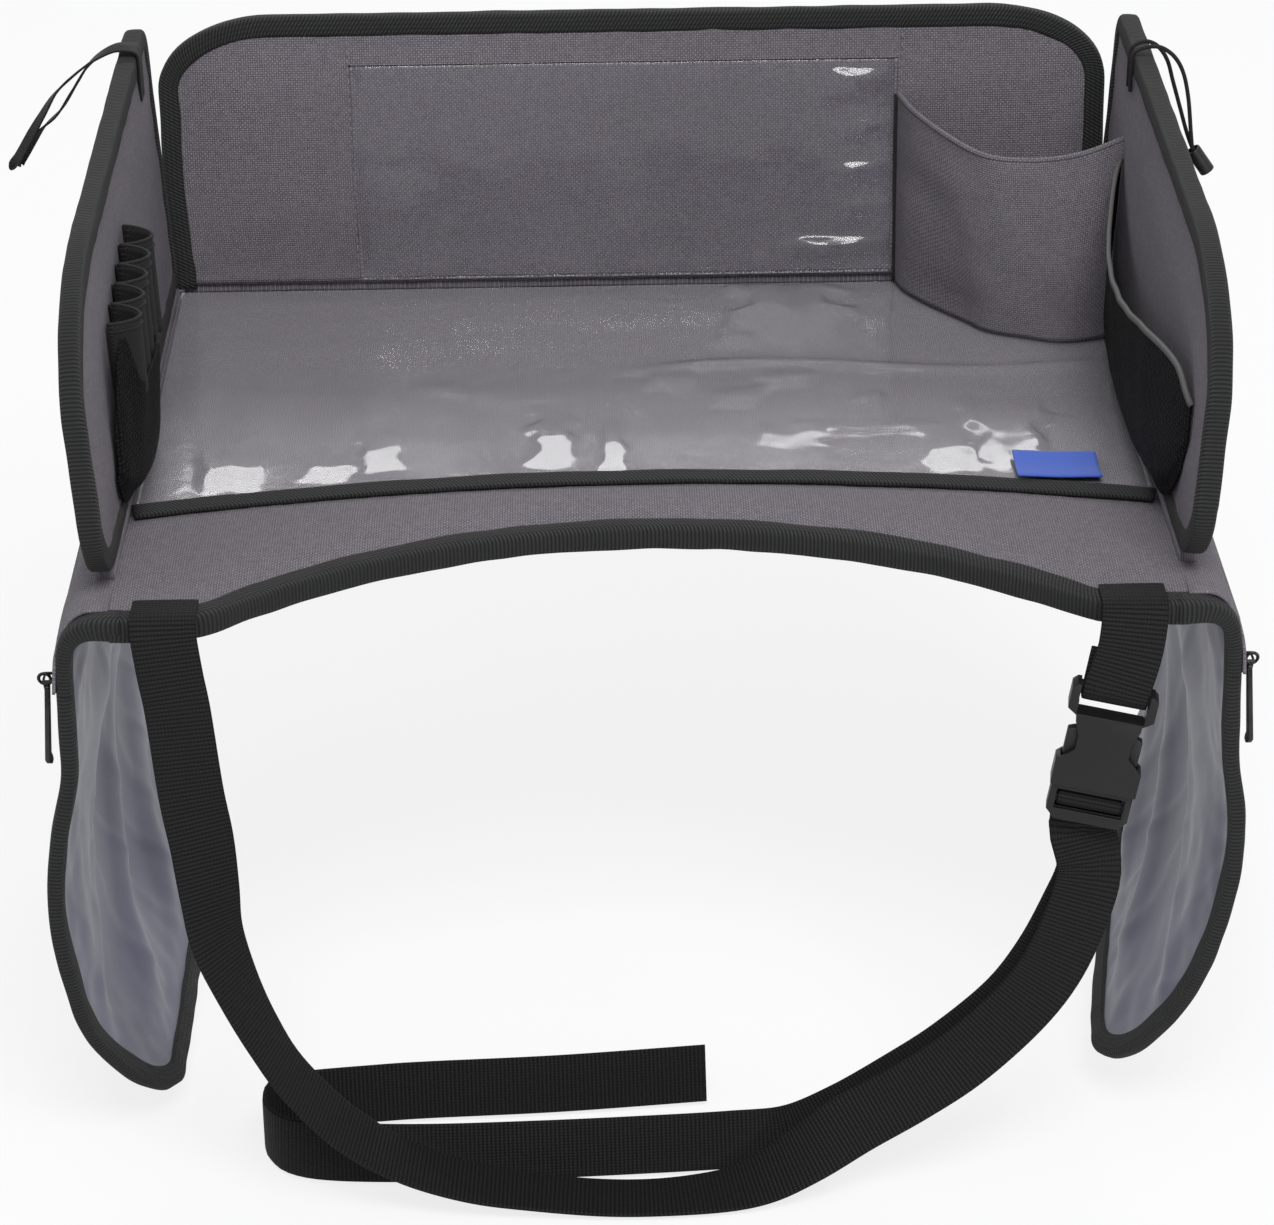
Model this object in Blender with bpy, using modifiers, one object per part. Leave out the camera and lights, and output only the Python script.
# Kids travel tray: a padded lap tray with three upstanding walls, two hanging side flaps,
# pockets, pen loops and a buckled waist strap. Metres, +X to the tray's right as seen from
# the child's side, +Y away from the child, +Z up, origin in the middle of the underside.
import bpy
import bmesh
from math import cos, hypot, pi, radians, sin, sqrt
from mathutils import Matrix, Vector

# Shared clearances
SEAM_GAP = 0.0003
CUT_OVERRUN = 0.004
WELD = 0.00001
MITRE_LIMIT = 0.3
LEFT, RIGHT = -1, 1

# Tray plate
TRAY_WIDTH = 0.416
TRAY_HALF = TRAY_WIDTH / 2
TRAY_FRONT = 0.173
TRAY_REAR = 0.1625
HORN_WIDTH = 0.040
BELLY_WIDTH = TRAY_WIDTH - 2 * HORN_WIDTH
BELLY_DEPTH = 0.074
BELLY_BLEND = 0.013
TRAY_CORNER = 0.0092
COVER_THICKNESS = 0.001
TRAY_BOARD_THICKNESS = 0.0024
TRAY_PAD_THICKNESS = 0.005
TRAY_EDGE_WIDTH = 0.010
BINDING_PROUD = 0.0006
BELLY_STEPS = 20
CORNER_STEPS = 5

# Clear pocket on the tray
CLEAR_THICKNESS = 0.0005
CLEAR_SIDE_MARGIN = 0.0062
CLEAR_HALF_WIDTH = TRAY_HALF - CLEAR_SIDE_MARGIN
CLEAR_REAR_MARGIN = 0.0095
CLEAR_REAR = TRAY_REAR - CLEAR_REAR_MARGIN
CLEAR_APRON = 0.051
CLEAR_FRONT_MIDDLE = BELLY_DEPTH - TRAY_FRONT + CLEAR_APRON
CLEAR_FRONT_SWEEP = 0.026
CLEAR_EDGE_WIDTH = 0.010
CLEAR_EDGE_THICKNESS = 0.0012
CLEAR_STEPS = 12
LABEL_WIDTH = 0.034
LABEL_DEPTH = 0.025
LABEL_THICKNESS = 0.0006
LABEL_SIDE_MARGIN = 0.043
LABEL_MIDDLE = TRAY_HALF - LABEL_SIDE_MARGIN
LABEL_LEAD = 0.0148
LABEL_FRONT = CLEAR_FRONT_MIDDLE - LABEL_LEAD
LABEL_TURN = radians(-4)

# Wall layers, shared by the three walls
WALL_PAD_THICKNESS = 0.003
WALL_BOARD_THICKNESS = 0.0015
WALL_COVER_THICKNESS = 0.001
WALL_EDGE_WIDTH = 0.0095
TAPE_THICKNESS = 0.0054
TAPE_WIDTH = 0.0058

# Side walls, which fold inwards about their foot
WALL_INSET = 0.0045
WALL_HINGE_OUT = TRAY_HALF - WALL_INSET
WALL_HEIGHT = 0.114
WALL_FRONT_MARGIN = 0.008
WALL_FRONT = TRAY_FRONT - WALL_FRONT_MARGIN
WALL_BACK_MARGIN = 0.0095
WALL_BACK = TRAY_REAR - WALL_BACK_MARGIN
WALL_LEAN = radians(3.5)
WALL_FOOT_RADIUS = 0.030
WALL_TOP_SWEEP = 0.085
WALL_TOP_FALL = 0.045
WALL_REAR_RADIUS = 0.0115
WALL_REAR_RISE = 0.008

# Back wall, which leans away
BACK_INSET = 0.007
BACK_FACE = TRAY_REAR - BACK_INSET
BACK_LEAN = radians(5)
BACK_SIDE_MARGIN = 0.0035
BACK_HALF_WIDTH = TRAY_HALF - BACK_SIDE_MARGIN
BACK_HEIGHT = 0.119
BACK_CORNER_RUN = 0.050
BACK_CORNER_FALL = 0.032
WINDOW_LEFT_MARGIN = 0.0825
BACK_WINDOW_LEFT = BACK_HALF_WIDTH - WINDOW_LEFT_MARGIN
WINDOW_RIGHT_MARGIN = 0.090
BACK_WINDOW_RIGHT = BACK_HALF_WIDTH - WINDOW_RIGHT_MARGIN
WINDOW_TOP_MARGIN = 0.0215
BACK_WINDOW_TOP = BACK_HEIGHT - WINDOW_TOP_MARGIN
BACK_WINDOW_FOOT = 0.002

# Corner pocket between the back wall and the right wall
CORNER_SHEET = 0.0018
CORNER_FOOT_LIFT = 0.0014
CORNER_TOP_MARGIN = 0.023
CORNER_TOP = BACK_HEIGHT - CORNER_TOP_MARGIN
CORNER_TOP_DIP = 0.008
CORNER_ROWS = 8
CORNER_SEAM_GAP = 0.002
CORNER_SEAM = BACK_WINDOW_RIGHT + CORNER_SEAM_GAP
CORNER_FOOT_REACH = 0.0765
CORNER_FOOT_FRONT = BACK_FACE - CORNER_FOOT_REACH
CORNER_TOP_REACH = 0.0635
CORNER_TOP_FRONT = BACK_FACE - CORNER_TOP_REACH
CORNER_FOOT_SHARES = ((0, 0), (0.05, 0.22), (0.29, 0.64), (0.44, 0.83), (0.65, 0.95), (0.80, 1), (1, 0.93))
CORNER_TOP_SHARES = ((0, 0), (0.08, 0.34), (0.24, 0.72), (0.40, 0.92), (0.60, 0.97), (0.80, 1), (1, 1.02))

# Pen loops on the left wall
LOOP_COUNT = 5
LOOP_PITCH = 0.0157
LOOP_DEPTH = 0.0120
LOOP_SHEET = 0.0012
LOOP_FOOT_DROP = 0.063
LOOP_FOOT = WALL_HEIGHT - LOOP_FOOT_DROP
LOOP_REAR_DROP = 0.0245
LOOP_TOP_REAR = WALL_HEIGHT - LOOP_REAR_DROP
LOOP_FRONT_DROP = 0.035
LOOP_TOP_FRONT = WALL_HEIGHT - LOOP_FRONT_DROP
LOOP_REAR_MARGIN = 0.1625
LOOP_REAR = WALL_BACK - LOOP_REAR_MARGIN
LOOP_STEPS = 10

# Mesh pockets
MESH_SHEET = 0.001
MESH_COLUMNS = 14
MESH_ROWS = 5
LEFT_MESH_REAR_MARGIN = 0.103
LEFT_MESH_REAR = WALL_BACK - LEFT_MESH_REAR_MARGIN
LEFT_MESH_FRONT_MARGIN = 0.053
LEFT_MESH_FRONT = LEFT_MESH_FRONT_MARGIN - WALL_FRONT
LEFT_MESH_TOP_DROP = 0.034
LEFT_MESH_TOP = WALL_HEIGHT - LEFT_MESH_TOP_DROP
LEFT_MESH_LOOP_GAP = 0.0015
LEFT_MESH_LOW_TOP = LOOP_FOOT - LEFT_MESH_LOOP_GAP
LEFT_MESH_DEPTH = 0.012
LEFT_MESH_STEP_SHARES = (0.86, 0.94)
RIGHT_MESH_CORNER_GAP = 0.006
RIGHT_MESH_REAR = CORNER_FOOT_FRONT - RIGHT_MESH_CORNER_GAP
RIGHT_MESH_FRONT_MARGIN = 0.029
RIGHT_MESH_FRONT = RIGHT_MESH_FRONT_MARGIN - WALL_FRONT
RIGHT_MESH_TOP_DROP = 0.048
RIGHT_MESH_TOP = WALL_HEIGHT - RIGHT_MESH_TOP_DROP
RIGHT_MESH_END_RISE = 0.009
RIGHT_MESH_DEPTH = 0.013
MESH_FOOT = 0.004
HEM_DIAMETER = 0.0022

# Side flaps, hanging from the tray's side edges
FLAP_STAND_OFF = 0.0135
FLAP_HINGE_OUT = TRAY_HALF + FLAP_STAND_OFF
FLAP_HINGE_HEIGHT = 0.0065
FLAP_TOP_RISE = 0.001
FLAP_DROP = 0.2425
RIGHT_FLAP_LIFT = 0.0065
RIGHT_REAR_SWING = 0.050
TWIST_LEAD = 0.058
TWIST_TOP_SHARE = 0.3
TWIST_ALONG_POWER = 1.2
TWIST_DOWN_POWER = 1.5
FLAP_COLUMNS = 14
FLAP_FRONT = WALL_FRONT
FLAP_BACK_MARGIN = 0.0175
FLAP_BACK = TRAY_REAR - FLAP_BACK_MARGIN
FLAP_BULGE = 0.0115
FLAP_FRONT_RUN = 0.060
FLAP_FRONT_FALL = 0.104
FLAP_TOP_RADIUS = 0.012
FLAP_BACK_RADIUS = 0.030
FLAP_EDGE_WIDTH = 0.0095
FLAP_CANVAS = 0.002
FLAP_LINING = 0.001
FLAP_HOLLOW = 0.001
FLAP_EDGE_HALF = 0.0026
FLAP_BANDS = 12
LINING_FOLD = 0.0022
LINING_FADE_SHARE = 0.25
LINING_WAVES_ALONG = 2.6
LINING_WAVES_DOWN = 1.4
SECTION_NUDGE = 0.01
LEFT_SECTION_SHARES = (
    (0, 0), (0.16, 0.09), (0.29, 0.17), (0.41, 0.70), (0.53, 0.96), (0.66, 0.70),
    (0.78, 0.26), (0.86, -0.52), (0.94, -1.48), (1, -2.35),
)
RIGHT_SECTION_SHARES = (
    (0, 0), (0.16, 0.09), (0.29, 0.17), (0.41, 0.50), (0.53, 0.42), (0.66, -0.10),
    (0.78, -0.85), (0.86, -1.60), (0.94, -2.45), (1, -3.30),
)
SHOULDER_THICKNESS = 0.0014
SHOULDER_BACK_OFF = 0.0031
SHOULDER_HEIGHT = 0.0078

# Zip on each flap
ZIP_DROP = 0.0345
ZIP_HEIGHT = 0.022
ZIP_THICKNESS = 0.0008
ZIP_INSET = 0.0005
SLIDER_LENGTH = 0.010
SLIDER_HEIGHT = 0.0085
SLIDER_THICKNESS = 0.0022
SLIDER_START = 0.0030
BAIL_RADIUS = 0.0007
BAIL_LENGTH = 0.0070
BAIL_LIFT = 0.0040
PULL_RING_HOLE = 0.0016
PULL_RING_WIRE = 0.0007
PULL_LENGTH = 0.034
PULL_WIDTH = 0.0070
PULL_THICKNESS = 0.0018
PULL_RING_STEPS = 16
PULL_WIRE_STEPS = 8

# Webbing
STRAP_WIDTH = 0.025
STRAP_THICKNESS = 0.0015
STRAP_STEP = 0.012

# The tray that the webbing and elastic routes are drawn for, which they follow when it changes
ROUTE_HALF_WIDTH = 0.208
ROUTE_HORN = 0.168
ROUTE_FRONT = 0.173
ROUTE_WALL_BACK = 0.153
ROUTE_WALL_HEIGHT = 0.114

# Buckle, leaning in the strap that hangs from the tray's front right
BUCKLE_SIDE_MARGIN = 0.0323
BUCKLE_LEAD = 0.006
BUCKLE_DROP = 0.0225
BUCKLE_TOP = Vector((TRAY_HALF - BUCKLE_SIDE_MARGIN, -TRAY_FRONT - BUCKLE_LEAD, -BUCKLE_DROP))
BUCKLE_LEAN = radians(10)
BUCKLE_YAW = radians(7)
SOCKET_WIDTH = 0.033
SOCKET_THICKNESS = 0.009
SOCKET_LENGTH = 0.043
SOCKET_WALL = 0.0018
WING_LENGTH = 0.012
BAR_LENGTH = 0.0045
BAR_HALF = 0.0017
SLOT_HALF_WIDTH = 0.0129
NECK_HALF = 0.0125
GRIP_TOP = 0.0150
GRIP_BOTTOM = 0.0330
GRIP_BITE = 0.0062
CAVITY_TOP = 0.0160
CAVITY_HALF = 0.0148
ARM_WIDTH = 0.0034
ARM_THICKNESS = 0.0042
ARM_TOP = 0.0185
ARM_OUT = 0.0118
ARM_SWELL = 0.0026
ARM_PIVOT = 0.0425
PLUG_GAP = 0.0004
PLUG_LENGTH = 0.0148
PLUG_WIDTH = 0.0315
PLUG_THICKNESS = 0.006
GUIDE_HALF = 0.0032
GUIDE_TOP = 0.0230
LADDER_MIDDLE = 0.0495
LADDER_BAR_HALF = 0.0009
LADDER_SLOT = 0.0030
LADDER_DEPTH_HALF = 0.0012

# Elastic loops on the wall tops
LOOP_BAND_WIDTH = 0.0055
LOOP_BAND_THICKNESS = 0.0010
LOOP_BAND_STEP = 0.006
CORD_DIAMETER = 0.0018
TOGGLE_LENGTH = 0.0120
TOGGLE_RADIUS = 0.0033
TOGGLE_BORE = 0.0023
TOGGLE_STEPS = 16
TOGGLE_MOUTH = Vector((0.2365, 0.0930, 0.0925))
TOGGLE_TILT = radians(35)

# Colours, linear, with roughness
FINISHES = {
    "canvas": ((0.147, 0.129, 0.141), 0.85),
    "binding": ((0.014, 0.015, 0.014), 0.80),
    "lining": ((0.155, 0.160, 0.215), 0.45),
    "mesh": ((0.010, 0.010, 0.011), 0.75),
    "webbing": ((0.012, 0.012, 0.013), 0.70),
    "clear": ((0.60, 0.60, 0.62), 0.08),
    "plastic": ((0.018, 0.018, 0.019), 0.42),
    "board": ((0.35, 0.33, 0.30), 0.70),
    "label": ((0.010, 0.060, 0.420), 0.60),
    "hem": ((0.10, 0.10, 0.10), 0.60),
}


def clear_scene():
    for obj in list(bpy.data.objects):
        bpy.data.objects.remove(obj, do_unlink=True)


def new_collection(name):
    made = bpy.data.collections.new(name)
    bpy.context.scene.collection.children.link(made)
    return made


def finish(obj, kind):
    colour, roughness = FINISHES[kind]
    material = bpy.data.materials.new(obj.name)
    material.use_nodes = True
    shader = material.node_tree.nodes["Principled BSDF"]
    shader.inputs["Base Color"].default_value = (*colour, 1)
    shader.inputs["Roughness"].default_value = roughness
    material.diffuse_color = (*colour, 1)
    obj.data.materials.clear()
    obj.data.materials.append(material)
    return obj


# Outlines

def rounded(corners):
    """Points of a polygon whose corners (x, y, run before, run after) turn along quarter ellipses."""
    points = []
    for index, (x, y, before, after) in enumerate(corners):
        corner = Vector((x, y))
        if before == 0:
            points.append(corner)
            continue
        last = Vector(corners[index - 1][:2])
        following = Vector(corners[(index + 1) % len(corners)][:2])
        start = (last - corner).normalized() * before
        end = (following - corner).normalized() * after
        for step in range(CORNER_STEPS + 1):
            turn = pi / 2 * step / CORNER_STEPS
            points.append(corner + start * (1 - sin(turn)) + end * (1 - cos(turn)))
    return points


def inset(points, distance):
    """The closed outline moved inwards, for an outline that runs anticlockwise."""
    moved = []
    for index, point in enumerate(points):
        before = (point - points[index - 1]).normalized()
        after = (points[(index + 1) % len(points)] - point).normalized()
        along = (before + after).normalized()
        inwards = Vector((-along.y, along.x))
        moved.append(point + inwards * distance / max(before.dot(along), MITRE_LIMIT))
    return moved


def box_outline(low_x, low_y, high_x, high_y):
    return [Vector(p) for p in ((low_x, low_y), (high_x, low_y), (high_x, high_y), (low_x, high_y))]


# Solids

def add_object(name, data, kind, frame=Matrix.Identity(4), collection=None):
    obj = bpy.data.objects.new(name, data)
    (collection or PARTS).objects.link(obj)
    obj.matrix_world = frame
    return finish(obj, kind) if kind else obj


def plate(name, kind, outlines, low, high, frame=Matrix.Identity(4)):
    """A flat outline, with any holes, between two heights over the frame's plane."""
    data = bpy.data.curves.new(name, "CURVE")
    data.dimensions = "2D"
    data.fill_mode = "BOTH"
    data.extrude = (high - low) / 2
    for outline in outlines:
        spline = data.splines.new("POLY")
        spline.points.add(len(outline) - 1)
        for point, place in zip(spline.points, outline):
            point.co = (place.x, place.y, 0, 1)
        spline.use_cyclic_u = True
    return add_object(name, data, kind, frame @ Matrix.Translation((0, 0, (low + high) / 2)))


def as_mesh(obj):
    """The same object as a welded mesh, with its place kept in its matrix."""
    bpy.context.view_layer.update()
    graph = bpy.context.evaluated_depsgraph_get()
    mesh = bpy.data.meshes.new_from_object(obj.evaluated_get(graph))
    shape = bmesh.new()
    shape.from_mesh(mesh)
    bmesh.ops.remove_doubles(shape, verts=shape.verts, dist=WELD)
    bmesh.ops.recalc_face_normals(shape, faces=shape.faces)
    shape.to_mesh(mesh)
    shape.free()
    name, frame = obj.name, obj.matrix_world.copy()
    materials = list(obj.data.materials)
    bpy.data.objects.remove(obj, do_unlink=True)
    made = add_object(name, mesh, None, frame)
    mesh.materials.clear()
    for material in materials:
        mesh.materials.append(material)
    return made


def sheet(name, kind, grid, thickness, frame=Matrix.Identity(4), even=True):
    """A curved sheet through a grid of places, thickened about its middle."""
    shape = bmesh.new()
    rows = [[shape.verts.new(place) for place in row] for row in grid]
    for upper, lower in zip(rows, rows[1:]):
        for index in range(len(upper) - 1):
            shape.faces.new((upper[index], lower[index], lower[index + 1], upper[index + 1]))
    mesh = bpy.data.meshes.new(name)
    shape.to_mesh(mesh)
    shape.free()
    obj = add_object(name, mesh, kind, frame)
    solid = obj.modifiers.new("Thickness", "SOLIDIFY")
    solid.thickness = thickness
    solid.offset = 0
    solid.use_even_offset = even
    return obj


def cut(obj, name, low, high, frame):
    """Cuts a box, given in the frame's own axes, out of a mesh object."""
    shape = bmesh.new()
    middle = (Vector(low) + Vector(high)) / 2
    size = Vector(high) - Vector(low)
    bmesh.ops.create_cube(shape, size=1, matrix=Matrix.Translation(middle) @ Matrix.Diagonal((*size, 1)))
    mesh = bpy.data.meshes.new(name)
    shape.to_mesh(mesh)
    shape.free()
    cutter = add_object(name, mesh, None, frame, CUTTERS)
    cutter.hide_render = True
    cutter.display_type = "WIRE"
    boolean = obj.modifiers.new(name, "BOOLEAN")
    boolean.operation = "DIFFERENCE"
    boolean.object = cutter


def smooth_route(points, step):
    """Places about a step apart on a smooth curve through the points, each a vector of any length."""
    places = []
    for index in range(len(points) - 1):
        before = points[max(index - 1, 0)]
        start, end = points[index], points[index + 1]
        after = points[min(index + 2, len(points) - 1)]
        count = max(1, round((end - start).to_3d().length / step))
        for part in range(count):
            t = part / count
            places.append(
                ((start * 2) + (end - before) * t
                 + (before * 2 - start * 5 + end * 4 - after) * t ** 2
                 + (start * 3 - before - end * 3 + after) * t ** 3) / 2
            )
    places.append(points[-1])
    return places


def ribbon(name, kind, route, width, thickness, step):
    """A flat band along (place, direction across) pairs, with square ends."""
    places = smooth_route([place for place, across in route], step)
    across_points = [across.normalized() for place, across in route]
    counts = [
        max(1, round((end[0] - start[0]).length / step)) for start, end in zip(route, route[1:])
    ]
    acrosses = []
    for start, end, count in zip(across_points, across_points[1:], counts):
        acrosses += [start.lerp(end, part / count) for part in range(count)]
    acrosses.append(across_points[-1])
    shape = bmesh.new()
    rings = []
    for index, (place, across) in enumerate(zip(places, acrosses)):
        along = (places[min(index + 1, len(places) - 1)] - places[max(index - 1, 0)]).normalized()
        across = (across - along * across.dot(along)).normalized() * width / 2
        up = along.cross(across).normalized() * thickness / 2
        rings.append([
            shape.verts.new(place + across * a + up * b)
            for a, b in ((-1, -1), (1, -1), (1, 1), (-1, 1))
        ])
    for first, second in zip(rings, rings[1:]):
        for index in range(4):
            following = (index + 1) % 4
            shape.faces.new((first[index], first[following], second[following], second[index]))
    shape.faces.new(rings[0])
    shape.faces.new(rings[-1])
    bmesh.ops.recalc_face_normals(shape, faces=shape.faces)
    mesh = bpy.data.meshes.new(name)
    shape.to_mesh(mesh)
    shape.free()
    return add_object(name, mesh, kind)


def tube(name, kind, points, diameter, step, frame=Matrix.Identity(4)):
    places = smooth_route([Vector(point) for point in points], step)
    data = bpy.data.curves.new(name, "CURVE")
    data.dimensions = "3D"
    data.bevel_depth = diameter / 2
    data.bevel_resolution = 2
    data.use_fill_caps = True
    spline = data.splines.new("POLY")
    spline.points.add(len(places) - 1)
    for point, place in zip(spline.points, places):
        point.co = (*place, 1)
    return add_object(name, data, kind, frame)


def carried_by(pivot_name, place, pieces):
    """Parents the pieces of a moving body to an empty on its joint's axis."""
    pivot = bpy.data.objects.new(pivot_name, None)
    PARTS.objects.link(pivot)
    pivot.location = place
    bpy.context.view_layer.update()
    for piece in pieces:
        world = piece.matrix_world.copy()
        piece.parent = pivot
        piece.matrix_parent_inverse = pivot.matrix_world.inverted()
        piece.matrix_world = world


# Heights of the tray's layers
TRAY_BOARD_FOOT = COVER_THICKNESS + SEAM_GAP
TRAY_PAD_FOOT = TRAY_BOARD_FOOT + TRAY_BOARD_THICKNESS + SEAM_GAP
TRAY_TOP = TRAY_PAD_FOOT + TRAY_PAD_THICKNESS
TAPE_FOOT = TRAY_TOP + SEAM_GAP
TAPE_TOP = TAPE_FOOT + TAPE_THICKNESS
WALL_FOOT = TAPE_TOP + SEAM_GAP
WALL_STACK = WALL_PAD_THICKNESS + WALL_BOARD_THICKNESS + WALL_COVER_THICKNESS + 2 * SEAM_GAP + BINDING_PROUD
BELLY_RADIUS = (hypot(BELLY_WIDTH / 2, BELLY_DEPTH) ** 2) / (2 * BELLY_DEPTH)
BELLY_CENTRE = -TRAY_FRONT + BELLY_DEPTH - BELLY_RADIUS


def tray_front_edge(back_off):
    """The front edge from left to right, moved back into the plate: horn, belly curve, horn."""
    horn = -TRAY_FRONT + back_off
    radius = BELLY_RADIUS + back_off
    meet = sqrt(radius ** 2 - (horn - BELLY_CENTRE) ** 2)
    curve_end = meet - BELLY_BLEND
    curve_end_y = BELLY_CENTRE + sqrt(radius ** 2 - curve_end ** 2)
    blend = []
    corner = Vector((meet, horn))
    to_curve = Vector((curve_end, curve_end_y)) - corner
    to_horn = Vector((BELLY_BLEND, 0))
    for step in range(CORNER_STEPS + 1):
        turn = pi / 2 * step / CORNER_STEPS
        blend.append(corner + to_curve * (1 - sin(turn)) + to_horn * (1 - cos(turn)))
    belly = []
    for step in range(1, BELLY_STEPS):
        x = curve_end * (2 * step / BELLY_STEPS - 1)
        belly.append(Vector((x, BELLY_CENTRE + sqrt(radius ** 2 - x ** 2))))
    left_blend = [Vector((-point.x, point.y)) for point in reversed(blend)]
    return left_blend + belly + blend


def front_corner(side, radius):
    """The plate's rounded front corner on one side, from the horn outwards."""
    turns = [pi / 2 * step / CORNER_STEPS for step in range(CORNER_STEPS + 1)]
    points = [
        Vector((side * (TRAY_HALF - radius * (1 - sin(turn))), -TRAY_FRONT + radius * (1 - cos(turn))))
        for turn in turns
    ]
    return points if side == RIGHT else points[::-1]


def build_tray():
    side_start = -TRAY_FRONT + TRAY_EDGE_WIDTH
    sides = [Vector((TRAY_HALF, side_start)), Vector((-TRAY_HALF, side_start))]
    set_back = Vector((0, SEAM_GAP))
    rear = [Vector((TRAY_HALF, TRAY_REAR)), Vector((-TRAY_HALF, TRAY_REAR))]
    layer = tray_front_edge(TRAY_EDGE_WIDTH + SEAM_GAP) + [sides[0] + set_back] + rear + [sides[1] + set_back]
    plate("tray_bottom_cover", "canvas", [layer], 0, COVER_THICKNESS)
    plate("tray_board", "board", [layer], TRAY_BOARD_FOOT, TRAY_BOARD_FOOT + TRAY_BOARD_THICKNESS)
    plate("tray_top_pad", "canvas", [layer], TRAY_PAD_FOOT, TRAY_TOP)
    front = front_corner(LEFT, TRAY_CORNER) + tray_front_edge(0) + front_corner(RIGHT, TRAY_CORNER)
    edge = front + [sides[0]] + tray_front_edge(TRAY_EDGE_WIDTH)[::-1] + [sides[1]]
    plate("tray_front_binding", "binding", [edge], -BINDING_PROUD, TRAY_TOP + BINDING_PROUD)


def clear_front(x):
    """The clear pocket's front line, which sweeps forward towards the sides."""
    return CLEAR_FRONT_MIDDLE - CLEAR_FRONT_SWEEP * (x / CLEAR_HALF_WIDTH) ** 2


def build_clear_pocket():
    steps = [CLEAR_HALF_WIDTH * (2 * step / CLEAR_STEPS - 1) for step in range(CLEAR_STEPS + 1)]
    front = [Vector((x, clear_front(x))) for x in steps]
    rear = [Vector((CLEAR_HALF_WIDTH, CLEAR_REAR)), Vector((-CLEAR_HALF_WIDTH, CLEAR_REAR))]
    foot = TRAY_TOP + SEAM_GAP
    plate("tray_clear_pocket", "clear", [front + rear], foot, foot + CLEAR_THICKNESS)
    back = [point + Vector((0, -SEAM_GAP)) for point in front]
    lead = [point + Vector((0, -SEAM_GAP - CLEAR_EDGE_WIDTH)) for point in front]
    plate("clear_pocket_binding", "binding", [lead + back[::-1]], foot, foot + CLEAR_EDGE_THICKNESS)
    corner = box_outline(-LABEL_WIDTH / 2, 0, LABEL_WIDTH / 2, LABEL_DEPTH)
    place = Matrix.Translation((LABEL_MIDDLE, LABEL_FRONT, 0)) @ Matrix.Rotation(LABEL_TURN, 4, "Z")
    low = foot + CLEAR_EDGE_THICKNESS + SEAM_GAP
    plate("label_tab", "label", [corner], low, low + LABEL_THICKNESS, place)


def side_frame(side):
    """Axes of a side wall: along +Y, up the wall, and square to it, with the origin on its hinge."""
    lean_out, up = sin(WALL_LEAN) * side, cos(WALL_LEAN)
    return Matrix((
        (0, lean_out, up, side * WALL_HINGE_OUT),
        (1, 0, 0, 0),
        (0, up, -lean_out, WALL_FOOT),
        (0, 0, 0, 1),
    ))


def outward(side, low, high):
    """A span of distances out from the tray's middle, in the frame's own third axis."""
    return (low, high) if side == RIGHT else (-high, -low)


def wall_layers(name, outline, frame, side, open_foot):
    """Pad, board and cover inside a binding that frames them, from the inner face outwards."""
    pad = (0, WALL_PAD_THICKNESS)
    board = (pad[1] + SEAM_GAP, pad[1] + SEAM_GAP + WALL_BOARD_THICKNESS)
    cover = (board[1] + SEAM_GAP, board[1] + SEAM_GAP + WALL_COVER_THICKNESS)
    ring = (-BINDING_PROUD, cover[1] + BINDING_PROUD)
    inner = inset(outline, WALL_EDGE_WIDTH + SEAM_GAP)
    hole = inset(outline, WALL_EDGE_WIDTH)
    if open_foot:
        inner = [Vector((p.x, outline[0].y if p.y < WALL_EDGE_WIDTH * 2 else p.y)) for p in inner]
        hole = [Vector((p.x, outline[0].y if p.y < WALL_EDGE_WIDTH * 2 else p.y)) for p in hole]
        ring_outlines = [outline[1:] + [outline[0]] + [hole[0]] + hole[:0:-1]]
    else:
        ring_outlines = [outline, hole]
    return [
        plate(name + "_pad", "canvas", [inner], *outward(side, *pad), frame),
        plate(name + "_board", "board", [inner], *outward(side, *board), frame),
        plate(name + "_cover", "canvas", [inner], *outward(side, *cover), frame),
        plate(name + "_binding", "binding", ring_outlines, *outward(side, *ring), frame),
    ]


def side_wall_outline():
    foot = WALL_STACK * sin(WALL_LEAN)
    return rounded([
        (-WALL_FRONT, foot, WALL_FOOT_RADIUS, WALL_FOOT_RADIUS),
        (WALL_BACK, foot, 0, 0),
        (WALL_BACK, WALL_HEIGHT + WALL_REAR_RISE, WALL_REAR_RADIUS, WALL_REAR_RADIUS),
        (-WALL_FRONT, WALL_HEIGHT, WALL_TOP_SWEEP, WALL_TOP_FALL),
    ])


def mesh_pocket(name, kind, side, rear, front, top, depth):
    """A sheet that bulges off the wall's inner face, sewn down at both ends and at its foot."""
    lift = BINDING_PROUD + SEAM_GAP + MESH_SHEET / 2
    grid = []
    for row in range(MESH_ROWS + 1):
        rise = row / MESH_ROWS
        line = []
        for column in range(MESH_COLUMNS + 1):
            run = column / MESH_COLUMNS
            along = rear + (front - rear) * run
            height = MESH_FOOT + (top(run) - MESH_FOOT) * rise
            belly = sin(pi * run) ** 0.5 if 0 < run < 1 else 0
            out = lift + depth * belly * rise
            line.append(Vector((along, height, -side * out)))
        grid.append(line)
    return sheet(name, kind, grid, MESH_SHEET, side_frame(side)), grid[-1]


def left_mesh_top(run):
    """Low under the pen loops, then up to the open mouth at the front."""
    ease = min(max((run - LEFT_MESH_STEP_SHARES[0]) / (LEFT_MESH_STEP_SHARES[1] - LEFT_MESH_STEP_SHARES[0]), 0), 1)
    ease = ease * ease * (3 - 2 * ease)
    return LEFT_MESH_LOW_TOP + (LEFT_MESH_TOP - LEFT_MESH_LOW_TOP) * ease


def right_mesh_top(run):
    """A slack hem: lowest in its middle, up at its two ends."""
    return RIGHT_MESH_TOP + RIGHT_MESH_END_RISE * (2 * run - 1) ** 2


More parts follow.
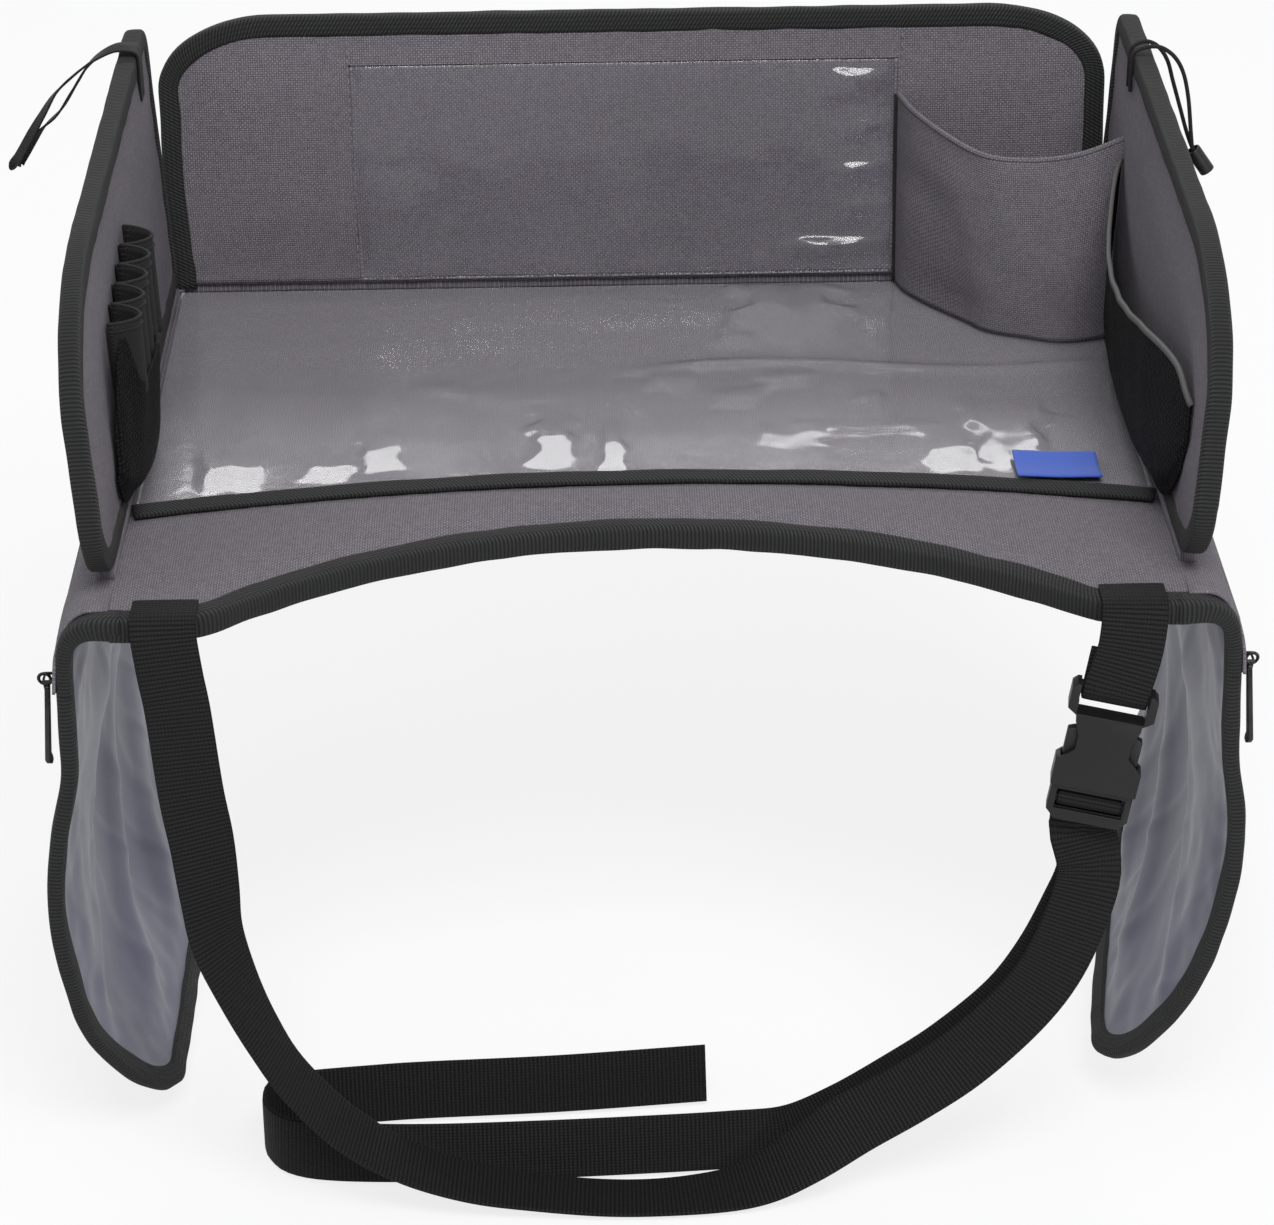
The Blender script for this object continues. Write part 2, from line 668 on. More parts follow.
def pen_loops():
    """A band of elastic that stands off the wall in a row of scallops."""
    lift = SEAM_GAP + LOOP_SHEET / 2
    top, foot = [], []
    for step in range(LOOP_COUNT * LOOP_STEPS + 1):
        run = step / (LOOP_COUNT * LOOP_STEPS)
        along = LOOP_REAR - run * LOOP_COUNT * LOOP_PITCH
        out = lift + LOOP_DEPTH * sin(pi * (step % LOOP_STEPS) / LOOP_STEPS) ** 0.6
        height = LOOP_TOP_REAR + (LOOP_TOP_FRONT - LOOP_TOP_REAR) * run
        foot.append(Vector((along, LOOP_FOOT, out)))
        top.append(Vector((along, height, out)))
    return sheet("left_pen_loops", "mesh", [foot, top], LOOP_SHEET, side_frame(LEFT), even=False)


def build_side_walls():
    outline = side_wall_outline()
    for side, name in ((LEFT, "left_wall"), (RIGHT, "right_wall")):
        pieces = wall_layers(name, outline, side_frame(side), side, False)
        if side == LEFT:
            pocket, hem = mesh_pocket("left_mesh_pocket", "mesh", LEFT, LEFT_MESH_REAR,
                                      LEFT_MESH_FRONT, left_mesh_top, LEFT_MESH_DEPTH)
            pieces += [pocket, pen_loops(), left_elastic_loop()]
        else:
            pocket, hem = mesh_pocket("right_mesh_pocket", "mesh", RIGHT, RIGHT_MESH_REAR,
                                      RIGHT_MESH_FRONT, right_mesh_top, RIGHT_MESH_DEPTH)
            rise = Vector((0, MESH_SHEET / 2 + SEAM_GAP + HEM_DIAMETER / 2, 0))
            out = Vector((0, 0, -(HEM_DIAMETER - MESH_SHEET) / 2))
            edge = tube("right_mesh_hem", "hem", [place + rise + out for place in hem],
                        HEM_DIAMETER, HEM_DIAMETER * 6, side_frame(RIGHT))
            pieces += [pocket, edge, *right_elastic_cord()]
        tape_in = WALL_HINGE_OUT - SEAM_GAP
        tape = box_outline(tape_in, -WALL_FRONT + WALL_FOOT_RADIUS, tape_in + TAPE_WIDTH, WALL_BACK)
        mirrored = [Vector((side * point.x, point.y)) for point in tape][::side]
        plate(name.replace("wall", "hinge_tape"), "canvas", [mirrored], TAPE_FOOT, TAPE_TOP)
        carried_by(name + "_pivot", (side * WALL_HINGE_OUT, 0, WALL_FOOT), pieces)


def back_frame():
    """Axes of the back wall: along +X, up the wall, and forward out of its face."""
    return Matrix((
        (1, 0, 0, 0),
        (0, sin(BACK_LEAN), -cos(BACK_LEAN), BACK_FACE),
        (0, cos(BACK_LEAN), sin(BACK_LEAN), WALL_FOOT),
        (0, 0, 0, 1),
    ))


def build_back_wall():
    foot = WALL_STACK * sin(BACK_LEAN)
    outline = rounded([
        (-BACK_HALF_WIDTH, foot, 0, 0),
        (BACK_HALF_WIDTH, foot, 0, 0),
        (BACK_HALF_WIDTH, BACK_HEIGHT, BACK_CORNER_FALL, BACK_CORNER_RUN),
        (-BACK_HALF_WIDTH, BACK_HEIGHT, BACK_CORNER_RUN, BACK_CORNER_FALL),
    ])
    wall_layers("back_wall", outline, back_frame(), LEFT, True)
    window = box_outline(-BACK_WINDOW_LEFT, BACK_WINDOW_FOOT, BACK_WINDOW_RIGHT, BACK_WINDOW_TOP)
    plate("back_clear_pocket", "clear", [window], SEAM_GAP, SEAM_GAP + CLEAR_THICKNESS, back_frame())
    tape = box_outline(-BACK_HALF_WIDTH + TAPE_WIDTH * 2, BACK_FACE, BACK_HALF_WIDTH - TAPE_WIDTH * 2,
                       BACK_FACE + TAPE_WIDTH)
    plate("back_hinge_tape", "canvas", [tape], TAPE_FOOT, TAPE_TOP)


def back_wall_face(height):
    """How far back the wall's front face lies at a height over the underside."""
    return BACK_FACE + (height - WALL_FOOT) * sin(BACK_LEAN) / cos(BACK_LEAN)


def side_wall_face(height):
    """How far out a side wall's inner face lies at a height over the underside."""
    return WALL_HINGE_OUT + (height - WALL_FOOT) * sin(WALL_LEAN) / cos(WALL_LEAN)


def build_corner_pocket():
    """A bulging sheet from its seam on the back wall round to the right wall, open at its top."""
    foot_height = TRAY_TOP + SEAM_GAP + CLEAR_THICKNESS + CORNER_FOOT_LIFT
    clear = SEAM_GAP + CORNER_SHEET / 2 + BINDING_PROUD
    grid = []
    columns = len(CORNER_FOOT_SHARES) * 3
    for row in range(CORNER_ROWS + 1):
        rise = row / CORNER_ROWS
        line = []
        knots = []
        for (foot_run, foot_go), (top_run, top_go) in zip(CORNER_FOOT_SHARES, CORNER_TOP_SHARES):
            run = foot_run + (top_run - foot_run) * rise
            go = foot_go + (top_go - foot_go) * rise
            dip = CORNER_TOP_DIP * sin(pi * run)
            height = foot_height + (CORNER_TOP - dip - foot_height) * rise
            out = CORNER_SEAM + (side_wall_face(height) - clear - CORNER_SEAM) * run
            front = CORNER_FOOT_FRONT + (CORNER_TOP_FRONT - CORNER_FOOT_FRONT) * rise
            rear = back_wall_face(height) - clear
            knots.append(Vector((out, rear + (front - rear) * go, height)))
        line = smooth_route(knots, (knots[-1] - knots[0]).length / columns)
        grid.append(line)
    shortest = min(len(line) for line in grid)
    grid = [even_places(line, shortest) for line in grid]
    sheet("corner_pocket", "canvas", grid, CORNER_SHEET)


def even_places(places, count):
    """The same line with the given number of evenly spread places."""
    lengths = [0]
    for start, end in zip(places, places[1:]):
        lengths.append(lengths[-1] + (end - start).length)
    spread = []
    index = 0
    for step in range(count):
        target = lengths[-1] * step / (count - 1)
        while index < len(places) - 2 and lengths[index + 1] < target:
            index += 1
        share = (target - lengths[index]) / (lengths[index + 1] - lengths[index])
        spread.append(places[index].lerp(places[index + 1], min(max(share, 0), 1)))
    return spread


# Side flaps

def flap_drop(side):
    return FLAP_DROP - (RIGHT_FLAP_LIFT if side == RIGHT else 0)


def flap_section(share, side):
    """How far out the flap's middle runs at a share of its drop, smooth through the listed places."""
    table = RIGHT_SECTION_SHARES if side == RIGHT else LEFT_SECTION_SHARES
    for index in range(len(table) - 1):
        if share <= table[index + 1][0] or index == len(table) - 2:
            break
    (x0, y0), (x1, y1) = table[index], table[index + 1]
    xb, yb = table[max(index - 1, 0)]
    xa, ya = table[min(index + 2, len(table) - 1)]
    slope0 = (y1 - yb) / (x1 - xb)
    slope1 = (ya - y0) / (xa - x0)
    t = min(max((share - x0) / (x1 - x0), 0), 1)
    width = x1 - x0
    return ((2 * t ** 3 - 3 * t ** 2 + 1) * y0 + (t ** 3 - 2 * t ** 2 + t) * width * slope0
            + (3 * t ** 2 - 2 * t ** 3) * y1 + (t ** 3 - t ** 2) * width * slope1)


def flap_swing(share, along, side):
    """How much further out the right flap stands towards its lower rear corner."""
    if side == LEFT:
        return 0
    start = TWIST_LEAD - FLAP_FRONT
    run = max(along - start, 0) / (FLAP_BACK - start)
    fall = max(share - TWIST_TOP_SHARE, 0) / (1 - TWIST_TOP_SHARE)
    return RIGHT_REAR_SWING * run ** TWIST_ALONG_POWER * fall ** TWIST_DOWN_POWER


def flap_reach(share, along, side):
    """How far out from the hinge the flap's middle stands."""
    return FLAP_BULGE * flap_section(share, side) + flap_swing(share, along, side)


def flap_point(along, drop, out, side):
    """A place on the flap: along the tray, down from its top edge and out from its middle."""
    total = flap_drop(side)
    share = drop / total
    before, after = max(share - SECTION_NUDGE, 0), min(share + SECTION_NUDGE, 1)
    rise = flap_reach(after, along, side) - flap_reach(before, along, side)
    normal = Vector((1, 0, rise / (total * (after - before)))).normalized()
    place = Vector((FLAP_HINGE_OUT + flap_reach(share, along, side), 0,
                    FLAP_HINGE_HEIGHT + FLAP_TOP_RISE - drop)) + normal * out
    return Vector((side * place.x, along, place.z))


def flap_outline(side):
    """Along +Y and down, as (along, minus drop), anticlockwise."""
    foot = -flap_drop(side)
    return rounded([
        (-FLAP_FRONT, foot, FLAP_FRONT_FALL, FLAP_FRONT_RUN),
        (FLAP_BACK, foot, FLAP_BACK_RADIUS, FLAP_BACK_RADIUS),
        (FLAP_BACK, 0, FLAP_TOP_RADIUS, FLAP_TOP_RADIUS),
        (-FLAP_FRONT, 0, FLAP_TOP_RADIUS, FLAP_TOP_RADIUS),
    ])


def bent_plate(name, kind, outlines, low, high, side, columns=FLAP_COLUMNS, fold=None):
    """A flat plate cut into bands and laid onto the flap's curve."""
    obj = as_mesh(plate(name, kind, outlines, low, high))
    shape = bmesh.new()
    shape.from_mesh(obj.data)
    shape.transform(obj.matrix_world)
    for band in range(1, FLAP_BANDS):
        everything = shape.verts[:] + shape.edges[:] + shape.faces[:]
        level = Vector((0, -flap_drop(side) * band / FLAP_BANDS, 0))
        bmesh.ops.bisect_plane(shape, geom=everything, dist=WELD / 10, plane_co=level, plane_no=(0, 1, 0))
    for column in range(1, columns):
        everything = shape.verts[:] + shape.edges[:] + shape.faces[:]
        line = Vector((-FLAP_FRONT + (FLAP_FRONT + FLAP_BACK) * column / columns, 0, 0))
        bmesh.ops.bisect_plane(shape, geom=everything, dist=WELD / 10, plane_co=line, plane_no=(1, 0, 0))
    for vert in shape.verts:
        out = vert.co.z - (fold(vert.co.x, -vert.co.y, side) if fold else 0)
        vert.co = flap_point(vert.co.x, -vert.co.y, out, side)
    bmesh.ops.triangulate(shape, faces=shape.faces)
    bmesh.ops.recalc_face_normals(shape, faces=shape.faces)
    shape.to_mesh(obj.data)
    shape.free()
    obj.matrix_world = Matrix.Identity(4)
    return obj


def lining_fold(along, drop, side):
    """Soft slanting folds in the lining, which die away at its seams."""
    from_front = (along + FLAP_FRONT - FLAP_EDGE_WIDTH) / (FLAP_FRONT + FLAP_BACK - 2 * FLAP_EDGE_WIDTH)
    from_top = (drop - FLAP_EDGE_WIDTH) / (flap_drop(side) - 2 * FLAP_EDGE_WIDTH)
    inside = min(from_front, 1 - from_front, from_top, 1 - from_top, LINING_FADE_SHARE) / LINING_FADE_SHARE
    wave = sin(2 * pi * (LINING_WAVES_ALONG * from_front + LINING_WAVES_DOWN * from_top))
    return LINING_FOLD * max(inside, 0) * (1 + wave) / 2


def build_flap(side, name):
    outline = flap_outline(side)
    hole = inset(outline, FLAP_EDGE_WIDTH)
    inner = inset(outline, FLAP_EDGE_WIDTH + SEAM_GAP)
    pieces = [
        bent_plate(name + "_flap_canvas", "canvas", [inner], 0, FLAP_CANVAS, side),
        bent_plate(name + "_flap_lining", "lining", [inner], -FLAP_HOLLOW - FLAP_LINING, -FLAP_HOLLOW, side,
                   fold=lining_fold),
        bent_plate(name + "_flap_binding", "binding", [outline, hole], -FLAP_EDGE_HALF, FLAP_EDGE_HALF, side),
    ]
    tape_front = -FLAP_FRONT + FLAP_EDGE_WIDTH + ZIP_INSET
    tape_back = FLAP_BACK - FLAP_EDGE_WIDTH - ZIP_INSET
    tape = box_outline(tape_front, -ZIP_DROP - ZIP_HEIGHT / 2, tape_back, -ZIP_DROP + ZIP_HEIGHT / 2)
    tape_out = FLAP_CANVAS + SEAM_GAP
    pieces.append(bent_plate(name + "_zip_tape", "binding", [tape], tape_out, tape_out + ZIP_THICKNESS, side))
    hinge = (side * FLAP_HINGE_OUT, 0, FLAP_HINGE_HEIGHT)
    carried_by(name + "_flap_pivot", hinge, pieces)
    build_zip(side, name, tape_front, tape_out + ZIP_THICKNESS)
    shoulder = box_outline(TRAY_HALF + SEAM_GAP, -WALL_FRONT + TRAY_CORNER,
                           FLAP_HINGE_OUT - SHOULDER_BACK_OFF, FLAP_BACK)
    mirrored = [Vector((side * point.x, point.y)) for point in shoulder][::side]
    plate(name + "_shoulder", "canvas", [mirrored], SHOULDER_HEIGHT, SHOULDER_HEIGHT + SHOULDER_THICKNESS)


def build_zip(side, name, tape_front, tape_face):
    """The slider's body with a bail over it, and the pull whose ring hangs on the bail."""
    start = tape_front + SLIDER_START
    middle = start + SLIDER_LENGTH / 2
    foot = tape_face + SEAM_GAP
    frame = flap_tangent_frame(middle, ZIP_DROP, side)
    body = box_outline(-SLIDER_LENGTH / 2, -SLIDER_HEIGHT / 2, SLIDER_LENGTH / 2, SLIDER_HEIGHT / 2)
    slider = as_mesh(plate(name + "_zip_slider", "plastic", [body],
                           *outward(side, foot, foot + SLIDER_THICKNESS), frame))
    bail_out = foot + SLIDER_THICKNESS + BAIL_LIFT
    root_out = foot + SLIDER_THICKNESS / 2
    half = BAIL_LENGTH / 2
    arch = [
        (-half, 0, side * root_out), (-half, 0, side * bail_out), (half, 0, side * bail_out),
        (half, 0, side * root_out),
    ]
    bail = as_mesh(tube(name + "_bail", "plastic", arch, BAIL_RADIUS * 2, BAIL_LENGTH * 2, frame))
    bail.hide_render = True
    bail.display_type = "WIRE"
    PARTS.objects.unlink(bail)
    CUTTERS.objects.link(bail)
    joined = slider.modifiers.new("Bail", "BOOLEAN")
    joined.operation = "UNION"
    joined.object = bail
    pivot = frame @ Vector((0, 0, side * bail_out))
    carried_by(name + "_slider_pivot", pivot, [slider])
    pull = build_pull(side, name, Matrix.Translation(pivot - frame.translation) @ frame)
    carried_by(name + "_pull_pivot", pivot, [pull])


def flap_tangent_frame(along, drop, side):
    """Axes on the flap: along +Y, upwards, and square out of the right flap or into the left one."""
    return Matrix((
        (0, 0, 1, flap_point(along, drop, 0, side).x),
        (1, 0, 0, along),
        (0, 1, 0, flap_point(along, drop, 0, side).z),
        (0, 0, 0, 1),
    ))


def build_pull(side, name, frame):
    """A ring round the bail, in the plane square to it, and the tab that hangs from the ring."""
    ring_middle = -(PULL_RING_HOLE - BAIL_RADIUS - SEAM_GAP)
    radius = PULL_RING_HOLE + PULL_RING_WIRE
    shape = bmesh.new()
    rings = []
    for step in range(PULL_RING_STEPS):
        turn = 2 * pi * step / PULL_RING_STEPS
        centre = Vector((0, ring_middle + radius * cos(turn), radius * sin(turn)))
        away = Vector((0, cos(turn), sin(turn)))
        rings.append([
            shape.verts.new(centre + (away * cos(a) + Vector((1, 0, 0)) * sin(a)) * PULL_RING_WIRE)
            for a in (2 * pi * part / PULL_WIRE_STEPS for part in range(PULL_WIRE_STEPS))
        ])
    for index, ring in enumerate(rings):
        following = rings[(index + 1) % PULL_RING_STEPS]
        for part in range(PULL_WIRE_STEPS):
            after = (part + 1) % PULL_WIRE_STEPS
            shape.faces.new((ring[part], following[part], following[after], ring[after]))
    bmesh.ops.recalc_face_normals(shape, faces=shape.faces)
    mesh = bpy.data.meshes.new(name + "_ring")
    shape.to_mesh(mesh)
    shape.free()
    ring_obj = add_object(name + "_pull_ring", mesh, None, frame, CUTTERS)
    ring_obj.hide_render = True
    ring_obj.display_type = "WIRE"
    top = ring_middle - radius + PULL_RING_WIRE / 2
    outline = rounded([
        (-PULL_WIDTH / 2, top - PULL_LENGTH, PULL_WIDTH / 3, PULL_WIDTH / 3),
        (PULL_WIDTH / 2, top - PULL_LENGTH, PULL_WIDTH / 3, PULL_WIDTH / 3),
        (PULL_WIDTH / 3, top, PULL_WIDTH / 5, PULL_WIDTH / 5),
        (-PULL_WIDTH / 3, top, PULL_WIDTH / 5, PULL_WIDTH / 5),
    ])
    half = PULL_THICKNESS / 2
    pull = as_mesh(plate(name + "_zip_pull", "plastic", [outline], -half, half, frame))
    joined = pull.modifiers.new("Ring", "BOOLEAN")
    joined.operation = "UNION"
    joined.object = ring_obj
    return pull


# Buckle

def buckle_frame():
    """Axes of the buckle: across, up against the strap, and out of its front; origin at its top."""
    turn = Matrix.Rotation(BUCKLE_LEAN, 4, "Y") @ Matrix.Rotation(-BUCKLE_YAW, 4, "Z")
    axes = Matrix(((1, 0, 0, 0), (0, 0, -1, 0), (0, 1, 0, 0), (0, 0, 0, 1)))
    return Matrix.Translation(BUCKLE_TOP) @ turn @ axes


def build_buckle():
    frame = buckle_frame()
    half = SOCKET_WIDTH / 2
    right = [
        (half, -SOCKET_LENGTH), (half, -GRIP_BOTTOM),
        (half - GRIP_BITE, -(GRIP_TOP + GRIP_BOTTOM) / 2 - GRIP_BITE / 2),
        (half - GRIP_BITE, -(GRIP_TOP + GRIP_BOTTOM) / 2 + GRIP_BITE / 2),
        (NECK_HALF, -GRIP_TOP), (NECK_HALF, -WING_LENGTH - SOCKET_WALL / 2),
        (half, -WING_LENGTH + SOCKET_WALL), (half, -SOCKET_WALL), (half - SOCKET_WALL, 0),
    ]
    outline = [Vector(p) for p in right] + [Vector((-x, y)) for x, y in reversed(right)]
    slot = box_outline(-SLOT_HALF_WIDTH, -WING_LENGTH, SLOT_HALF_WIDTH, -BAR_LENGTH)
    thick = SOCKET_THICKNESS / 2
    socket = as_mesh(plate("buckle_socket", "plastic", [outline, slot], -thick, thick, frame))
    cavity = thick - SOCKET_WALL
    cut(socket, "socket_cavity", (-CAVITY_HALF, -SOCKET_LENGTH - CUT_OVERRUN, -cavity),
        (CAVITY_HALF, -CAVITY_TOP, cavity), frame)
    for name, low, high in (("front_recess", BAR_HALF, thick + CUT_OVERRUN),
                            ("rear_recess", -thick - CUT_OVERRUN, -BAR_HALF)):
        cut(socket, name, (-SLOT_HALF_WIDTH - SEAM_GAP, -BAR_LENGTH - CUT_OVERRUN / 2, low),
            (SLOT_HALF_WIDTH + SEAM_GAP, CUT_OVERRUN, high), frame)
    build_plug(frame)
    build_arms(frame)


def build_plug(frame):
    top = -SOCKET_LENGTH - PLUG_GAP
    foot = top - PLUG_LENGTH
    half = PLUG_WIDTH / 2
    corner = PLUG_LENGTH / 4
    base = [
        (-half, top), (-half, foot + corner), (-half + corner, foot), (half - corner, foot),
        (half, foot + corner), (half, top), (GUIDE_HALF, top), (GUIDE_HALF / 2, -GUIDE_TOP),
        (-GUIDE_HALF / 2, -GUIDE_TOP), (-GUIDE_HALF, top),
    ]
    slots = []
    for edge in (-LADDER_MIDDLE + LADDER_BAR_HALF, -LADDER_MIDDLE - LADDER_BAR_HALF - LADDER_SLOT):
        slots.append(box_outline(-SLOT_HALF_WIDTH, edge, SLOT_HALF_WIDTH, edge + LADDER_SLOT))
    thick = PLUG_THICKNESS / 2
    outline = [Vector(p) for p in base]
    plug = as_mesh(plate("buckle_plug", "plastic", [outline] + slots, -thick, thick, frame))
    window_low = -LADDER_MIDDLE - LADDER_BAR_HALF - LADDER_SLOT
    window_high = -LADDER_MIDDLE + LADDER_BAR_HALF + LADDER_SLOT
    for name, low, high in (("ladder_front", LADDER_DEPTH_HALF, thick + CUT_OVERRUN),
                            ("ladder_rear", -thick - CUT_OVERRUN, -LADDER_DEPTH_HALF)):
        cut(plug, name, (-SLOT_HALF_WIDTH - SEAM_GAP, window_low - SEAM_GAP, low),
            (SLOT_HALF_WIDTH + SEAM_GAP, window_high + SEAM_GAP, high), frame)
    guide = SOCKET_THICKNESS / 2 - SOCKET_WALL - SEAM_GAP
    for name, low, high in (("guide_front", guide, thick + CUT_OVERRUN),
                            ("guide_rear", -thick - CUT_OVERRUN, -guide)):
        cut(plug, name, (-half, top + SEAM_GAP, low), (half, -GUIDE_TOP + CUT_OVERRUN, high), frame)


def build_arms(frame):
    """The two side-release arms, each springing about its root on the plug."""
    top = -ARM_TOP
    root = -SOCKET_LENGTH + SEAM_GAP
    for side, name in ((LEFT, "left"), (RIGHT, "right")):
        outer = [
            (ARM_OUT, root), (ARM_OUT, -GRIP_BOTTOM), (ARM_OUT + ARM_SWELL, -GRIP_BOTTOM + ARM_SWELL),
            (ARM_OUT + ARM_SWELL, -GRIP_TOP - 2 * ARM_SWELL), (ARM_OUT - ARM_WIDTH / 2, top),
            (ARM_OUT - ARM_WIDTH, top - ARM_WIDTH), (ARM_OUT - ARM_WIDTH, root),
        ]
        outline = [Vector((side * x, y)) for x, y in outer][::side]
        half = ARM_THICKNESS / 2
        arm = plate("buckle_" + name + "_arm", "plastic", [outline], -half, half, frame)
        pivot = frame @ Vector((side * (ARM_OUT - ARM_WIDTH / 2), -ARM_PIVOT, 0))
        carried_by("buckle_" + name + "_arm_pivot", pivot, [arm])


# Webbing routes: each place with the direction across the band
MAIN_ROUTE = (
    (-0.1820, -0.1600, 0.0108, 1, 0, 0),
    (-0.1820, -0.1690, 0.0110, 1, 0, 0),
    (-0.1820, -0.1738, 0.0109, 1, 0, 0),
    (-0.1820, -0.1760, 0.0085, 1, 0, 0),
    (-0.1818, -0.1776, 0.0030, 1, 0, 0),
    (-0.1800, -0.1790, -0.0120, 1, 0, 0.05),
    (-0.1780, -0.1800, -0.0260, 1, 0, 0.1),
    (-0.1750, -0.1810, -0.0600, 1, 0.1, 0.08),
    (-0.1720, -0.1820, -0.0810, 0.95, 0.3, 0.1),
    (-0.1700, -0.1840, -0.1020, 0.85, 0.5, 0.15),
    (-0.1680, -0.1860, -0.1210, 0.7, 0.68, 0.1),
    (-0.1608, -0.1880, -0.1430, 0.5, 0.85, 0.08),
    (-0.1520, -0.1890, -0.1640, 0.35, 0.92, 0.1),
    (-0.1415, -0.1900, -0.1830, 0.25, 0.95, 0.15),
    (-0.1225, -0.1900, -0.2060, 0.2, 1, 0.2),
    (-0.1000, -0.1900, -0.2225, 0.15, 1, 0.12),
    (-0.0750, -0.1905, -0.2325, 0.05, 1, 0.08),
    (-0.0500, -0.1910, -0.2375, 0, 1, 0.02),
    (-0.0200, -0.1920, -0.2404, 0, 1, 0),
    (0.0060, -0.1920, -0.2404, 0, 1, 0.02),
    (0.0300, -0.1900, -0.2388, 0, 1, 0.15),
    (0.0450, -0.1880, -0.2340, -0.1, 0.9, 0.4),
    (0.0590, -0.1870, -0.2255, -0.25, 0.8, 0.6),
    (0.0770, -0.1860, -0.2125, -0.45, 0.5, 0.8),
    (0.1010, -0.1860, -0.1970, -0.6, 0.35, 0.75),
    (0.1210, -0.1860, -0.1820, -0.7, 0.25, 0.65),
    (0.1420, -0.1850, -0.1610, -0.8, 0.15, 0.55),
    (0.1550, -0.1840, -0.1420, -0.87, 0.1, 0.45),
    (0.1640, -0.1820, -0.1200, -0.95, 0.05, 0.25),
    (0.1685, -0.1785, -0.1020, -1, 0, 0.1),
)
TAIL_ROUTE = (
    (0.1690, -0.1730, -0.1020, -1, 0, 0.1),
    (0.1630, -0.1728, -0.1210, -0.95, 0, 0.25),
    (0.1530, -0.1730, -0.1430, -0.87, 0, 0.45),
    (0.1400, -0.1730, -0.1630, -0.75, 0.05, 0.6),
    (0.1190, -0.1725, -0.1840, -0.6, 0.1, 0.75),
    (0.0990, -0.1715, -0.2000, -0.45, 0.15, 0.85),
    (0.0770, -0.1690, -0.2165, -0.3, 0.2, 0.95),
    (0.0550, -0.1680, -0.2275, -0.1, 0.2, 1),
    (0.0300, -0.1695, -0.2290, 0, 0.2, 1),
    (-0.0050, -0.1720, -0.2290, 0, 0.2, 1),
    (-0.0450, -0.1740, -0.2290, 0, 0.2, 1),
    (-0.0900, -0.1750, -0.2290, 0, 0.2, 1),
    (-0.1280, -0.1730, -0.2290, 0, 0.2, 1),
    (-0.1465, -0.1680, -0.2290, 0, 0.1, 1),
    (-0.1552, -0.1580, -0.2290, 0, 0, 1),
    (-0.1572, -0.1480, -0.2290, 0, 0, 1),
    (-0.1545, -0.1385, -0.2290, 0, 0, 1),
    (-0.1435, -0.1340, -0.2290, 0, 0.1, 1),
    (-0.1150, -0.1310, -0.2290, 0, 0.2, 1),
    (-0.0930, -0.1290, -0.2290, 0, 0.2, 1),
    (-0.0380, -0.1260, -0.2290, 0, 0.2, 1),
    (0.0220, -0.1200, -0.2290, 0, 0.2, 1),
)
SHORT_ROUTE = (
    (0.1820, -0.1600, 0.0108, 1, 0, 0),
    (0.1820, -0.1690, 0.0110, 1, 0, 0),
    (0.1820, -0.1738, 0.0109, 1, 0, 0),
    (0.1820, -0.1760, 0.0085, 1, 0, 0),
    (0.1815, -0.1778, 0.0030, 1, 0, 0),
    (0.1798, -0.1800, -0.0080, 1, 0, -0.1),
)

# Ends of the webbing in the buckle's own axes: down from its top, and out of its front
MAIN_END = (
    (0.0640, -0.0040), (0.0590, -0.0043), (0.0546, -0.0045), (0.0530, -0.0042), (0.0523, -0.0034),
    (0.05215, -0.0022), (0.0520, 0.0002), (0.0517, 0.0014), (0.0509, 0.0022), (0.0495, 0.0025),
    (0.0481, 0.0022), (0.0473, 0.0014), (0.0470, 0.0002), (0.04695, -0.0020),
)
TAIL_START = (
    (0.04695, -0.0023), (0.0469, -0.0036), (0.0475, -0.0050), (0.0490, -0.0060), (0.0520, -0.00635),
    (0.0570, -0.0068), (0.0640, -0.0078),
)
SHORT_END = (
    (0.0010, 0.0031), (0.0045, 0.0030), (0.0061, 0.0014), (0.0063, -0.0002), (0.0058, -0.0020),
    (0.0040, -0.0031), (0.0005, -0.0034), (-0.0080, -0.0036), (-0.0130, -0.0036),
)


def beside_tray(place):
    """A place of the webbing, kept in step with the tray's sides and its front edge."""
    share = min(max(place.x / ROUTE_HORN, -1), 1)
    return place + Vector(((TRAY_HALF - ROUTE_HALF_WIDTH) * share, ROUTE_FRONT - TRAY_FRONT, 0))


def on_wall(place):
    """A place of the elastic, kept in step with the top rear corner of its wall."""
    side = LEFT if place.x < 0 else RIGHT
    return place + Vector((side * (TRAY_HALF - ROUTE_HALF_WIDTH), WALL_BACK - ROUTE_WALL_BACK,
                           WALL_HEIGHT - ROUTE_WALL_HEIGHT))


def band_route(rows, follow):
    return [(follow(Vector(row[:3])), Vector(row[3:])) for row in rows]


def buckle_route(rows, direction):
    frame = buckle_frame()
    across = (frame.to_3x3() @ Vector((1, 0, 0))) * direction
    return [(frame @ Vector((0, -down, out)), across) for down, out in rows]


def build_straps():
    ribbon("main_strap", "webbing", band_route(MAIN_ROUTE, beside_tray) + buckle_route(MAIN_END, -1),
           STRAP_WIDTH, STRAP_THICKNESS, STRAP_STEP)
    ribbon("strap_tail", "webbing", buckle_route(TAIL_START, -1) + band_route(TAIL_ROUTE, beside_tray),
           STRAP_WIDTH, STRAP_THICKNESS, STRAP_STEP)
    ribbon("short_strap", "webbing", band_route(SHORT_ROUTE, beside_tray) + buckle_route(SHORT_END, 1),
           STRAP_WIDTH, STRAP_THICKNESS, STRAP_STEP)


